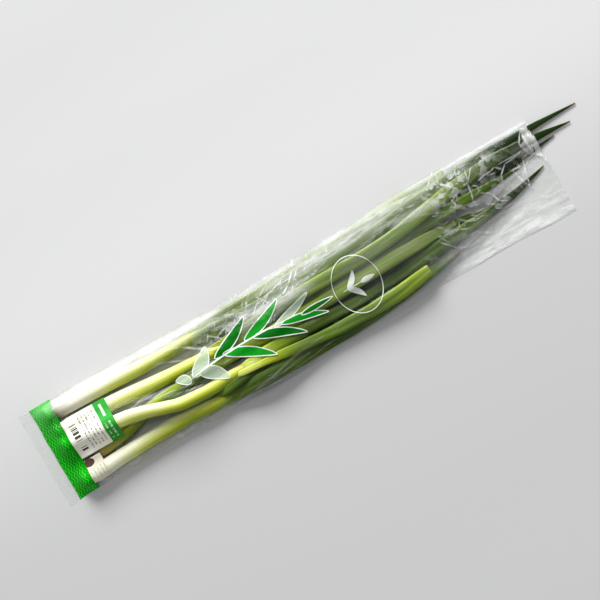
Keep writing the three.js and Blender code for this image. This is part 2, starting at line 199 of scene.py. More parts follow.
def follow(route, x, column):
    """One column of a route at x, on a smooth curve through the route's points."""
    p = np.array(route, float)
    n = np.arange(len(p))
    before, after = np.maximum(n - 1, 0), np.minimum(n + 1, len(p) - 1)
    slope = (p[after, column] - p[before, column]) / (p[after, 0] - p[before, 0])
    i = np.clip(np.searchsorted(p[:, 0], x, side="right") - 1, 0, len(p) - 2)
    span = p[i + 1, 0] - p[i, 0]
    t = np.clip((x - p[i, 0]) / span, 0, 1)
    leave = p[i, column] + slope[i] * span * t
    arrive = p[i + 1, column] - slope[i + 1] * span * (1 - t)
    return leave + (arrive - leave) * ease(t)


def strand_of(route, flatness):
    """The sections of a shaft or leaf along its route, not yet laid at any height."""
    x = np.unique(np.append(np.arange(route[0][0], route[-1][0], STEP), route[-1][0])).astype(float)
    wide = follow(route, x, 2)
    return {"x": x, "y": follow(route, x, 1), "z": np.zeros(len(x)), "wide": wide, "high": wide * flatness}


def height_over(strand, under, give, apart):
    """The height at which a strand's sections rest on another strand, or 0 where they pass beside it."""
    x = strand["x"]
    y, z, wide, high = (np.interp(x, under["x"], under[key]) for key in ("y", "z", "wide", "high"))
    reach = (strand["wide"] + wide) * give + GAP
    off = np.abs(strand["y"] - y) / reach
    rest = z + apart * (strand["high"] + high + GAP) * np.sqrt(np.clip(1 - off * off, 0, 1))
    meets = (off < 1) & (x >= under["x"][0]) & (x <= under["x"][-1])
    return np.where(meets, rest, 0)


def lay(strand, laid, onion, shaft=None):
    """Lets a strand down on the film and on the strands that already lie there."""
    x = strand["x"]
    own, others = np.zeros(len(x)), FILM_UNDER + strand["high"]
    for other in laid:
        if other is shaft:
            continue
        give = SOFT if shaft else 1
        if other["onion"] is onion:
            apart = ease((x - onion["fork"]) / (2 * FORK_BLEND))
            own = np.maximum(own, height_over(strand, other, give, apart))
        else:
            others = np.maximum(others, height_over(strand, other, give, 1))
    away = np.abs(x[:, None] - x[None, :])
    bent = np.minimum(away, DROOP_REACH)
    held = (np.maximum(own, others)[None, :] - DROOP * bent * (2 * away - bent)).max(axis=1)
    if shaft:
        inside = np.interp(x, shaft["x"], shaft["z"])
        loose = ease((x - onion["fork"]) / FORK_BLEND)
        held = inside + (held - inside) * loose
        held = np.maximum(held, others * ease((x - onion["fork"] + FORK_RISE) / FORK_RISE))
    strand["z"] = np.convolve(np.pad(held, 1, mode="edge"), (0.25, 0.5, 0.25), mode="valid")
    strand["onion"] = onion
    laid.append(strand)


laid = []
for onion in ONIONS:
    onion["strand"] = strand_of(onion["shaft"], 1)
    lay(onion["strand"], laid, onion)
top_layer = max(leaf["layer"] for onion in ONIONS for leaf in onion["leaves"])
for layer in range(top_layer + 1):
    for onion in ONIONS:
        for leaf in onion["leaves"]:
            if leaf["layer"] == layer:
                leaf["strand"] = strand_of(leaf["route"], FLATNESS)
                lay(leaf["strand"], laid, onion, onion["strand"])


# The onions
# Each grew as one piece. Its skin is white and moist at the root end, then yellow-green, then dark green
# with a waxy bloom and fine veins along every leaf. Tips and trimmed roots are straw brown.
def nodes_of(name):
    """A new material and what makes its nodes: any node, sums, and soft steps from 0 to 1."""
    material = bpy.data.materials.new(name)
    material.use_nodes = True
    tree = material.node_tree
    tree.nodes.clear()

    def node(kind, inputs=(), **settings):
        made = tree.nodes.new(kind)
        for key, value in settings.items():
            setattr(made, key, value)
        for key, value in dict(inputs).items():
            if hasattr(value, "is_output"):
                tree.links.new(value, made.inputs[key])
            else:
                made.inputs[key].default_value = value
        return made

    def maths(operation, *values):
        return node("ShaderNodeMath", dict(enumerate(values)), operation=operation).outputs[0]

    def steps(value, low, high):
        return node("ShaderNodeMapRange", {"Value": value, "From Min": low, "From Max": high},
                    interpolation_type="SMOOTHSTEP").outputs["Result"]

    return material, node, maths, steps


def ramp(node, factor, stops):
    """Colours that run into each other from stop to stop."""
    made = node("ShaderNodeValToRGB", {"Fac": factor})
    while len(made.color_ramp.elements) < len(stops):
        made.color_ramp.elements.new(0.5)
    for element, (place, colour) in zip(made.color_ramp.elements, stops):
        element.position = place
        element.color = (*colour, 1)
    return made.outputs["Color"]


SKIN = [(0.0, (0.9, 0.89, 0.8)), (0.14, (0.88, 0.87, 0.54)), (0.28, (0.74, 0.78, 0.18)),
        (0.42, (0.47, 0.54, 0.028)), (0.58, (0.23, 0.32, 0.016)), (0.74, (0.105, 0.175, 0.013)),
        (0.88, (0.042, 0.08, 0.006)), (1.0, (0.013, 0.03, 0.003))]  # from unripe to ripe
VEIN, BLOOM, STRAW = (0.62, 0.66, 0.45, 1), (0.27, 0.38, 0.15, 1), (0.3, 0.2, 0.09, 1)

skin, node, maths, steps = nodes_of("onion skin")
ripe = node("ShaderNodeAttribute", attribute_name="ripe").outputs["Fac"]
dry = node("ShaderNodeAttribute", attribute_name="dry").outputs["Fac"]
along = node("ShaderNodeUVMap", uv_map="along").outputs["UV"]
streaks = node("ShaderNodeMapping", {"Vector": along, "Scale": (1.0, 0.02, 1.0)}).outputs["Vector"]
veins = node("ShaderNodeTexNoise", {"Vector": streaks, "Scale": 900.0, "Detail": 3.0, "Roughness": 0.6})
bands = node("ShaderNodeTexNoise", {"Vector": streaks, "Scale": 260.0, "Detail": 2.0, "Roughness": 0.5})
place = node("ShaderNodeTexCoord").outputs["Object"]
patches = node("ShaderNodeTexNoise", {"Vector": place, "Scale": 22.0, "Detail": 3.0, "Roughness": 0.55})
varied = maths("ADD", ripe, maths("MULTIPLY", maths("SUBTRACT", bands.outputs["Fac"], 0.5), 0.34))
varied = maths("ADD", varied, maths("MULTIPLY", maths("SUBTRACT", patches.outputs["Fac"], 0.5), 0.12))
green = ramp(node, varied, SKIN)
vein_lines = maths("MULTIPLY", steps(veins.outputs["Fac"], 0.42, 0.7), 0.5)
fine = node("ShaderNodeMix", {"Factor": vein_lines, "A": green, "B": VEIN},
            data_type="RGBA", blend_type="MULTIPLY")
bloom = maths("MULTIPLY", steps(ripe, 0.4, 0.6), steps(ripe, 1.0, 0.8))  # on leaves, but not on dark tips
bloom = maths("MULTIPLY", maths("MULTIPLY", steps(patches.outputs["Fac"], 0.35, 0.7), bloom), 0.13)
waxy = node("ShaderNodeMix", {"Factor": bloom, "A": fine.outputs["Result"], "B": BLOOM}, data_type="RGBA")
straw = node("ShaderNodeMix", {"Factor": dry, "A": waxy.outputs["Result"], "B": STRAW}, data_type="RGBA")
relief = maths("ADD", maths("MULTIPLY", veins.outputs["Fac"], 0.5), bands.outputs["Fac"])
bump = node("ShaderNodeBump", {"Height": relief, "Strength": 0.35, "Distance": 0.0006})
surface = node("ShaderNodeBsdfPrincipled", {
    "Base Color": straw.outputs["Result"], "Normal": bump.outputs["Normal"],
    "Roughness": maths("ADD", 0.36, maths("MULTIPLY", patches.outputs["Fac"], 0.2)),
    "Specular IOR Level": 0.09})
node("ShaderNodeOutputMaterial", {"Surface": surface.outputs["BSDF"]})


def tube_mesh(name, pieces, material):
    """One mesh of closed tubes, each given as the points of its rings, their ripeness and their dryness."""
    points, faces, ripes, dries, uvs = [], [], [], [], []
    for rings, ripe_at, dry_at in pieces:
        count, sides, _ = rings.shape
        start = len(points)
        points += [tuple(p) for p in rings.reshape(-1, 3) * MM]
        ripes += list(np.broadcast_to(ripe_at, (count, sides)).reshape(-1))
        dries += list(np.broadcast_to(dry_at, (count, sides)).reshape(-1))
        length = np.concatenate([[0], np.cumsum(np.linalg.norm(np.diff(rings[:, 0], axis=0), axis=1))]) * MM
        girth = 2 * math.pi * np.abs(rings[count // 2, :, 1] - rings[count // 2, :, 1].mean()).max() * MM
        for i in range(count - 1):
            for j in range(sides):
                k = (j + 1) % sides
                faces.append((start + i * sides + j, start + (i + 1) * sides + j,
                              start + (i + 1) * sides + k, start + i * sides + k))
                uvs += [(j / sides * girth, length[i]), (j / sides * girth, length[i + 1]),
                        ((j + 1) / sides * girth, length[i + 1]), ((j + 1) / sides * girth, length[i])]
        for end, order in ((0, 1), (count - 1, -1)):
            faces.append(tuple(start + end * sides + j for j in range(sides))[::order])
            uvs += [(0, length[end])] * sides
    mesh = bpy.data.meshes.new(name)
    mesh.from_pydata(points, [], faces)
    for key, values in (("ripe", ripes), ("dry", dries)):
        mesh.attributes.new(key, "FLOAT", "POINT").data.foreach_set("value", np.array(values, float))
    mesh.uv_layers.new(name="along").data.foreach_set("uv", np.array(uvs, float).reshape(-1))
    shape = bmesh.new()  # so that every tube's faces look outwards
    shape.from_mesh(mesh)
    bmesh.ops.recalc_face_normals(shape, faces=shape.faces)
    shape.to_mesh(mesh)
    shape.free()
    mesh.polygons.foreach_set("use_smooth", [True] * len(faces))
    mesh.materials.append(material)
    piece = bpy.data.objects.new(name, mesh)
    bpy.context.collection.objects.link(piece)
    return piece


def waves(draw, x, size, *lengths):
    """A gentle wandering along x, of about that size, with the given wave lengths."""
    return size * sum(np.sin(2 * math.pi * (x / length + draw.random())) for length in lengths) / len(lengths)


SHEATHED = 0.27  # the ripeness of a leaf inside its sheath


def leaf_ripeness(leaf, onion, x):
    """How green a leaf is along x: yellow-green where the onion turns green, and ripe further on."""
    greens = onion.get("greens", onion["fork"])
    pale = SHEATHED + 0.15 * ease((x - greens + 55) / 50)
    return pale + (leaf["ripe"] - pale) * ease((x - greens + 30) / 75)


LEAF_SIDES, SHAFT_SIDES = 28, 40
CUT_END = [(0.97, -0.5), (0.84, -0.5), (0.78, 2), (0.74, 9)]  # rings into a cut end, by size and how far in
FOOT = [(-5, 0.55), (-4.5, 0.7), (-3.2, 0.86), (-1.5, 0.96)]  # rings of a shaft's foot, by place and size
SHEATHS, SHEATH_START, SHEATH_STEP = 3, 46, 24  # how far before the fork the first ends, and from end to end
ROOTS, ROOT_RADIUS, ROOT_SPREAD = 44, 0.55, 0.52


def leaf_rings(leaf, onion, draw):
    """The rings of one hollow leaf, pressed flat and a little dented, with an open end where it was cut."""
    strand, fork = leaf["strand"], onion["fork"]
    x, wide, high = strand["x"], strand["wide"], strand["high"]
    turn = (np.arange(LEAF_SIDES) + 0.5) / LEAF_SIDES * 2 * math.pi
    c, s = np.cos(turn)[None, :], np.sin(turn)[None, :]
    free = ease((x - fork) / 60)
    dent = (0.26 + waves(draw, x, 0.22, 90, 210)) * free
    dent_at = waves(draw, x, 0.3, 160, 260)
    roll = waves(draw, x, 0.2, 170, 330) * free
    # a leaf is narrower where it comes out between the sheaths
    opened = 0.65 + 0.35 * ease((x - leaf.get("opens", fork) + 25) / 45)
    y = c * (wide * opened * (1 + waves(draw, x, 0.035, 55, 120)))[:, None]
    pressed = np.where(s > 0, 1, 0.3) * dent[:, None] * np.exp(-((c - dent_at[:, None]) / 0.38) ** 2)
    z = s * (high * opened)[:, None] * (1 - pressed)
    ys = y * np.cos(roll)[:, None] - z * np.sin(roll)[:, None]
    zs = y * np.sin(roll)[:, None] + z * np.cos(roll)[:, None]
    rings = np.stack([np.broadcast_to(x[:, None] - MIDDLE_X, ys.shape), strand["y"][:, None] + ys,
                      strand["z"][:, None] + zs], axis=2)
    ripe_at = leaf_ripeness(leaf, onion, x) + 0.35 * ease((x - 200) / 130)
    ripe_at = ripe_at - leaf.get("fade", 0) * ease((x - x[-1] + 130) / 130) + waves(draw, x, 0.04, 80, 150)
    if not leaf.get("cut"):
        dry_at = 0.5 * ease((x - x[-1] + 9) / 9)
    else:
        slant = draw.uniform(-0.5, 0.5)
        rings[-1, :, 0] += slant * (rings[-1, :, 1] - strand["y"][-1])
        end = rings[-1]
        middle = end.mean(axis=0)
        inner = [middle + (end - middle) * size - np.array([inwards, 0, 0]) for size, inwards in CUT_END]
        rings = np.concatenate([rings, np.array(inner)])
        pale_end = ripe_at[-1] - 0.25
        ripe_at = np.concatenate([ripe_at, [pale_end, pale_end, 0.5, 0.9]])
        dry_at = np.concatenate([np.zeros(len(x)), [0.15, 0.15, 0, 0]])
    edge = np.exp(-((turn - 0.4) / 0.17) ** 2)  # painted highlight: a pale line along each leaf's edge on the lamp's side
    painted_highlight = 0.2 * np.append(free, np.zeros(len(rings) - len(x)))[:, None] * edge[None, :]
    return rings, ripe_at[:, None] - painted_highlight, dry_at[:, None]


def shaft_rings(onion, draw):
    """The rings of one shaft: its rounded foot, then rolled sheaths that end one inside the other."""
    strand = onion["strand"]
    x, wide = strand["x"], strand["wide"]
    first = x[0]
    x = np.concatenate([[first + place for place, _ in FOOT], x])
    sizes = np.concatenate([[size for _, size in FOOT], np.ones(len(wide))])
    sizes *= 1 + 0.03 * np.exp(-((x - first - 5) / 9) ** 2)
    y, z, wide = (np.concatenate([[strand[key][0]] * len(FOOT), strand[key]]) for key in ("y", "z", "wide"))
    turn = (np.arange(SHAFT_SIDES) + 0.5) / SHAFT_SIDES * 2 * math.pi
    radius = (wide * sizes)[:, None] * (1 + 0.012 * np.sin(3 * turn + draw.uniform(0, 6)))[None, :]
    for sheath in range(SHEATHS):
        edge = onion["fork"] - SHEATH_START + SHEATH_STEP * sheath + 12 * np.cos(turn - draw.uniform(0, 6))
        radius *= 1 - 0.04 * ease((x[:, None] - edge[None, :]) / 4 + 0.5)
    radius *= 1 + waves(draw, x, 0.012, 47, 130)[:, None] - 0.45 * ease((x[:, None] - x[-1] + 22) / 22)
    ys = y[:, None] + radius * np.cos(turn)[None, :]
    zs = z[:, None] + radius * np.sin(turn)[None, :]
    rings = np.stack([np.broadcast_to(x[:, None] - MIDDLE_X, ys.shape), ys, zs], axis=2)
    round_from_lamp_side = np.abs((turn - 0.5 + math.pi) % (2 * math.pi) - math.pi)
    painted_shade = ease(round_from_lamp_side / 2.2)  # painted shade, none on the lamp's side and full on the side away from it
    # a greener shaft is painted greener all along, as painted shade
    ripe_at = 0.04 + onion.get("greener", 0) + 0.19 * ease((x + 235) / 110)
    # painted shade: the shafts are greener and darker round the side away from the lamp
    ripe_at = ripe_at[:, None] + 0.32 * ease((x + 268) / 55)[:, None] * painted_shade[None, :]
    out_of_it = ease((x - onion.get("greens", onion["fork"]) + 12) / 34)[:, None]
    ripe_at = ripe_at + (leaf_ripeness(onion["leaves"][0], onion, x)[:, None] - ripe_at) * out_of_it
    dry_at = 0.75 * np.exp(-((x - first + 5) / onion.get("dry_foot", 5)) ** 2)
    return rings, ripe_at, dry_at[:, None]


def root_rings(onion, draw):
    """The trimmed roots: thin tapered threads that splay from the root plate."""
    strand = onion["strand"]
    foot = np.array([strand["x"][0] - 4.5 - MIDDLE_X, strand["y"][0], strand["z"][0]])
    made = []
    for i in range(ROOTS):
        turn = i * math.pi * (3 - math.sqrt(5))
        out = ROOT_SPREAD * strand["wide"][0] * math.sqrt((i + 0.5) / ROOTS)
        way = np.array([-1, 0.1 * out * math.cos(turn), 0.1 * out * math.sin(turn)])
        way += draw.uniform(-0.22, 0.22, 3) * (0, 1, 1)
        length = draw.uniform(3, 7.5)
        curl = draw.uniform(-0.035, 0.035, 2)
        start = foot + (0, out * math.cos(turn), out * math.sin(turn))
        rings = []
        for t in (0, 0.35, 0.7, 1):
            centre = start + way * length * t + np.array([0, curl[0], curl[1]]) * (length * t) ** 2
            size = ROOT_RADIUS * (1 - 0.45 * t)
            rings.append([centre + (0, size * math.cos(a), size * math.sin(a))
                          for a in (0, 1.26, 2.51, 3.77, 5.03)])
        made.append((np.array(rings), 0.1, draw.uniform(0.35, 0.8)))
    return made


for number, onion in enumerate(ONIONS, start=1):
    draw = np.random.default_rng(number)
    pieces = [shaft_rings(onion, draw)]
    pieces += [leaf_rings(leaf, onion, draw) for leaf in onion["leaves"]]
    pieces += root_rings(onion, draw)
    piece = tube_mesh(f"spring_onion_{number}", pieces, skin)
    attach(piece, "root")
    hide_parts(f"spring_onion_{number}_shaft", f"spring_onion_{number}_leaves")

# The clear film bag
# A flat tube of crisp clear film, welded shut past the roots and open at the leaf end. It lies slack over the
# onions: drawn tight where it is pushed up, and creased everywhere else. It turns white along its creases,
# partly the film's own whitening and partly painted glints, and carries painted glare where it catches the
# lamp.
UPPER_FOLD = [(-325, 57), (-290, 56), (-200, 56), (-90, 54), (40, 55), (110, 58), (180, 60), (250, 58.5),
              (323, 57)]
LOWER_FOLD = [(-325, -58), (-290, -56), (-200, -55.5), (-60, -58), (40, -58), (130, -55), (200, -55),
              (323, -57.5)]
ROOT_EDGE, MOUTH_EDGE, WELD = -325, 323, -312
LABELS = {"price_label": (-286, -231, -19, 28), "small_label": (-286, -265, -48.5, -22)}
ACROSS, UNDER, ALONG = 116, 26, 540  # points across its upper side, across its underside, and along it
CLEARANCE = 1.0  # how far the film stays off an onion
SETTLING, SAG = 1800, 0.014  # rounds of drawing the film tight, and how much it sinks in each
FOLD_HEIGHT, BELOW_HEIGHT, WELD_HEIGHT = 0.12, 0.09, 0.3  # where nothing lifts it

xs = np.linspace(ROOT_EDGE, MOUTH_EDGE, ALONG)
share = np.linspace(0, 1, ACROSS)
X = np.broadcast_to(xs[:, None], (ALONG, ACROSS))
low_fold = follow(LOWER_FOLD, xs, 1) + 0.5 * np.sin(xs / 17) + 0.4 * np.sin(xs / 41 + 2)
high_fold = follow(UPPER_FOLD, xs, 1) + 0.5 * np.sin(xs / 23 + 1)
Y = low_fold[:, None] + (high_fold - low_fold)[:, None] * share[None, :]

under = np.full(X.shape, 0.6)  # the height of what the film covers
for strand in laid:
    y, z, wide, high = (np.interp(xs, strand["x"], strand[key])[:, None]
                        for key in ("y", "z", "wide", "high"))
    off = np.abs(Y - y) / (wide + CLEARANCE)
    top = z + (high + CLEARANCE) * np.sqrt(np.clip(1 - off * off, 0, 1))
    there = (xs >= strand["x"][0] - 14) & (xs <= strand["x"][-1])
    under = np.where((off < 1) & there[:, None], np.maximum(under, top), under)
film = under.copy()
for _ in range(SETTLING):
    drawn = (film[:-2, 1:-1] + film[2:, 1:-1] + 1.4 * film[1:-1, :-2] + 1.4 * film[1:-1, 2:]) / 4.8 - SAG
    film[1:-1, 1:-1] = np.maximum(under[1:-1, 1:-1], drawn)
    film[-1] = film[-2]
    film[xs < WELD] = 0.5
tight = np.exp(-(film - under) / 1.2)  # 1 where the film lies on an onion

ridge, white = np.zeros(X.shape), np.zeros(X.shape)


def crease(path, half, rise, whiteness):
    """Folds the film along a path of straight stretches, and whitens it there: partly the film's own
    whitening in a crease, partly a painted glint.
    """
    for (x0, y0), (x1, y1) in zip(path, path[1:]):
        here = (X > min(x0, x1) - 5) & (X < max(x0, x1) + 5) & (Y > min(y0, y1) - 5) & (Y < max(y0, y1) + 5)
        dx, dy = x1 - x0, y1 - y0
        t = np.clip(((X[here] - x0) * dx + (Y[here] - y0) * dy) / (dx * dx + dy * dy), 0, 1)
        away = np.hypot(X[here] - x0 - t * dx, Y[here] - y0 - t * dy)
        ridge[here] = np.maximum(ridge[here], rise * np.clip(1 - away / (2.2 * half), 0, 1))
        fading = 1 - 0.7 * np.abs(2 * t - 1) ** 3
        white[here] = np.maximum(white[here], whiteness * fading * np.clip(1.15 - away / half, 0, 1))


def crumple(draw, count, box, heading, turn, stretch, half, rise, whiteness):
    """Scatters that many jagged creases over a box, which start off within a range of headings in degrees."""
    for _ in range(count):
        x, y = draw.uniform(*box[:2]), draw.uniform(*box[2:])
        way = math.radians(draw.uniform(*heading))
        path = [(x, y)]
        for _ in range(draw.integers(1, 5)):
            step = draw.uniform(*stretch)
            x, y = x + step * math.cos(way), y + step * math.sin(way)
            path.append((x, y))
            way += math.radians(draw.uniform(-turn, turn))
        crease(path, draw.uniform(*half), draw.uniform(*rise), draw.uniform(*whiteness) ** 1.5)


draw = np.random.default_rng(11)
crumple(draw, 34, (188, 258, 18, 50), (0, 360), 70, (4, 13), (0.5, 1.1), (0.5, 1.6), (0.3, 1))
crumple(draw, 10, (262, 318, -20, 50), (-130, 60), 40, (6, 16), (0.4, 0.8), (0.6, 1.6), (0.2, 0.8))
crumple(draw, 26, (170, 320, -56, -14), (-25, 25), 30, (8, 26), (0.6, 1.5), (0.5, 1.6), (0.3, 1))
crumple(draw, 12, (170, 250, -10, 12), (-50, -10), 50, (4, 14), (0.5, 1.1), (0.4, 1.2), (0.4, 1))
crumple(draw, 50, (-110, -20, 17, 34), (-20, 70), 80, (3, 8), (0.5, 0.9), (0.3, 1.2), (0.2, 0.9))
crumple(draw, 30, (-60, 62, 26, 54), (30, 65), 25, (6, 18), (0.6, 1.6), (0.5, 1.5), (0.3, 1))
crumple(draw, 22, (-170, -60, 28, 54), (-25, 10), 18, (8, 22), (0.6, 1.6), (0.3, 1.2), (0.3, 0.9))
crumple(draw, 20, (-210, -60, -56, -47), (-6, 6), 8, (12, 40), (0.5, 0.9), (0.4, 1.3), (0.1, 0.6))
crumple(draw, 12, (-225, -140, -18, 6), (-8, 8), 6, (10, 26), (0.4, 0.7), (0.2, 0.5), (0.3, 0.8))
crumple(draw, 14, (60, 200, 40, 58), (-12, 12), 12, (10, 30), (0.6, 1.4), (0.3, 1), (0.1, 0.5))
crumple(draw, 9, (-324, -314, 36, 55), (70, 110), 30, (3, 9), (0.5, 0.9), (0.1, 0.2), (0.3, 0.9))
crumple(draw, 9, (-324, -314, -56, -34), (70, 110), 30, (3, 9), (0.4, 0.8), (0.1, 0.2), (0.2, 0.8))
crumple(draw, 22, (-280, 160, -50, 50), (-25, 25), 25, (5, 16), (0.4, 0.8), (0.1, 0.4), (0.05, 0.35))
crumple(draw, 30, (-75, 20, 15, 36), (-12, 22), 12, (8, 24), (0.5, 1.0), (0.2, 0.8), (0.3, 0.9))
CREASES = [[(313, 52), (303, 37), (307, 24), (313, 20), (321, 13), (323, 2)],  # the mouth is folded over
           [(320, 51), (318, 37), (313, 20)], [(307, 24), (300, 24), (294, 2), (291, -9)],
           [(313, 52), (310, 38), (313, 20)], [(283, 16), (288, -1), (294, -15)],
           [(279, 27), (269, 18), (267, 10)], [(279, 27), (296, 28), (301, 31)], [(281, 17), (294, 16)],
           [(239, 13), (249, 7), (254, -5), (263, -10)], [(292, -21), (305, -31)],
           [(174, -12), (189, -28), (201, -33), (218, -31), (225, -33)], [(214, -23), (218, -31)],
           [(245, 44), (233, 30), (226, 29)],
           [(26, 46), (12, 32), (0, 15)], [(-9, 49), (-28, 37), (-49, 19)],  # and creased above the sprig
           [(-32, 40), (-21, 24)], [(-14, 37), (-32, 26)]]
for path in CREASES:
    crease(path, 0.75, 1.2, 1.0)
crease([(150, 33), (196, 14), (236, 6)], 1.0, 0.8, 0.5)


def flap(corners, whiteness):
    """Whitens a flat patch of folded film, whose corners go round it against the clock: partly doubled film,
    partly a painted reflection of the lamp.
    """
    inside = np.ones(X.shape, bool)
    for (x0, y0), (x1, y1) in zip(corners, corners[1:] + corners[:1]):
        inside &= (x1 - x0) * (Y - y0) > (y1 - y0) * (X - x0)
    white[inside] = np.maximum(white[inside], whiteness)


# patches painted white: doubled film at the folded mouth, and painted reflections of the lamp on flat facets
FLAPS = [([(201, 17), (206, 12), (218, 5), (214, 13)], 0.5), ([(218, 10), (223, 4), (233, 3), (229, 9)], 0.5),
         ([(185, 33), (185, 25), (194, 26), (198, 34)], 0.5),
         ([(207, 42), (209, 33), (218, 34), (217, 40)], 0.5),
         ([(207, 28), (208, 24), (218, 25), (217, 29)], 0.5),
         ([(303, 37), (307, 24), (313, 20), (310, 38)], 0.5), ([(310, 38), (313, 20), (313, 52)], 0.9),
         ([(313, 52), (313, 20), (318, 37)], 0.62), ([(313, 52), (318, 37), (320, 51)], 0.95),
         ([(318, 37), (313, 20), (321, 14), (323, 30), (320, 51)], 0.85),
         ([(313, 20), (323, 2), (323, 14), (321, 14)], 0.3)]
for corners, whiteness in FLAPS:
    flap(corners, whiteness)
ridge *= 1 - 0.75 * tight
white *= 1 - 0.35 * tight
for x0, x1, y0, y1 in LABELS.values():  # the labels stiffen the film that they are stuck on
    out_of = np.maximum(np.maximum(x0 - X, X - x1), np.maximum(y0 - Y, Y - y1))
    ridge *= ease((out_of - 1) / 5)
edge = ease(np.minimum(share, 1 - share) / 0.03)[None, :]
at_mouth = ease((xs - 285) / 38)[:, None]
ripple = 2.2 * (1 + np.sin(Y / 5.2 + 1) * np.sin(Y / 13)) * at_mouth * ease((Y + 25) / 40)
film = film + (ridge + ripple) * edge + 0.25 * np.sin(X / 9 + Y / 14)
inward = np.minimum(share, 1 - share)[None, :] * ACROSS  # from either fold, in millimetres
film = np.maximum(np.maximum(film, 0.6) - 0.38 * (1 - ease(inward / 9)), 0.22)
for side in (0, -1):
    film[:, side] = FOLD_HEIGHT + 0.02 * np.sin(xs / 11 + side)
film[xs < WELD] = WELD_HEIGHT
film[0] = 0.2


def patches_of(spots, sharpness):
    """Patches of the film, each given as its middle, its two reaches and how strong it is."""
    made = np.zeros(X.shape)
    for x, y, reach_x, reach_y, amount in spots:
        fading = np.abs((X - x) / reach_x) ** 4 + np.abs((Y - y) / reach_y) ** sharpness
        made = np.maximum(made, amount * np.exp(-fading))
    return made


# Veils: painted glare, white where the film catches the lamp's light, and haze where it lies double; and
# places where it is rumpled
VEILS_AND_GLARE = [(-235, 53, 75, 10, 0.9), (-130, 53, 60, 11, 0.85), (-30, 56, 70, 9, 0.75), (115, 51, 80, 8, 0.5),
         (195, 54, 35, 6, 0.42), (270, 57, 60, 4.5, 0.6), (-110, 38, 55, 4, 0.35), (250, -50, 85, 12, 1.0),
         (255, -33, 80, 13, 0.85), (318, -50, 8, 8, 0.9), (-22, 23, 46, 11, 0.5), (115, 8, 75, 20, 0.13),
         (55, 43, 88, 8, 0.48), (165, 30, 28, 6, 0.35), (230, 38, 42, 11, 0.08), (-319, 0, 7, 70, 0.05)]
RUMPLES = [(225, 36, 45, 16, 1), (205, 2, 26, 12, 0.8), (275, 8, 50, 26, 0.4), (245, -32, 90, 16, 0.7),
           (-65, 25, 52, 8, 0.9), (10, 42, 60, 13, 0.4), (-140, 42, 60, 14, 0.5), (-318, 0, 7, 70, 0.05),
           (120, 48, 90, 10, 0.3), (-200, -52, 90, 5, 0.5)]
veil_and_glare = patches_of(VEILS_AND_GLARE, 2)
thin = 0.7 * ease((80 - X) / 60) * ease(1 - (1 - share) * ACROSS / 7)  # they thin out towards the folds
veil_and_glare *= 1 - np.maximum(thin, 0.6 * ease(1 - share * ACROSS / 3))
rumpled = patches_of(RUMPLES, 4)

below_share = np.arange(1, UNDER + 1) / (UNDER + 1)
below_y = high_fold[:, None] + (low_fold - high_fold)[:, None] * below_share[None, :]
below = BELOW_HEIGHT + 0.03 * np.sin(xs[:, None] / 7) * np.sin(14 * below_share)[None, :]
ring_y = np.concatenate([Y, below_y], axis=1)
ring_z = np.concatenate([film, below], axis=1)
around = ACROSS + UNDER
points = np.stack([np.broadcast_to(xs[:, None] - MIDDLE_X, ring_y.shape), ring_y, ring_z], axis=2)
faces = []
for i in range(ALONG - 1):
    for j in range(around):
        k = (j + 1) % around
        faces.append((i * around + j, (i + 1) * around + j, (i + 1) * around + k, i * around + k))
faces.append(tuple(range(around)))
mesh = bpy.data.meshes.new("film_bag")
mesh.from_pydata([tuple(p) for p in points.reshape(-1, 3) * MM], [], faces)
for key, values, underneath in (("veil_and_glare", veil_and_glare, 0.0), ("white", white, 0.0), ("rumpled", rumpled, 0.04),
                                ("top_side", np.ones(X.shape), 0.0)):
    values = np.concatenate([values, np.full(below.shape, underneath)], axis=1)
    mesh.attributes.new(key, "FLOAT", "POINT").data.foreach_set("value", values.reshape(-1))
mesh.polygons.foreach_set("use_smooth", [n % around < ACROSS - 1 for n in range(len(faces))])
bag = bpy.data.objects.new("film_bag", mesh)
bpy.context.collection.objects.link(bag)


def places(node, maths):
    """A place on a piece, and its x and y in the routes' millimetres."""
    place = node("ShaderNodeTexCoord").outputs["Object"]
    parts = node("ShaderNodeSeparateXYZ", {"Vector": place})
    x = maths("ADD", maths("MULTIPLY", parts.outputs["X"], 1 / MM), float(MIDDLE_X))
    return place, x, maths("MULTIPLY", parts.outputs["Y"], 1 / MM)


film_print, node, maths, steps = nodes_of("printed clear film")
place, px, py = places(node, maths)


def seen(name):
    """What the mesh says of its veil and painted glare, its whiteness and painted glints, its rumples or its
    upper side.
    """
    return node("ShaderNodeAttribute", attribute_name=name).outputs["Fac"]


def between(value, low, high):
    """1 where a value is in a range, and 0 elsewhere."""
    return maths("MULTIPLY", maths("GREATER_THAN", value, float(low)), maths("LESS_THAN", value, float(high)))


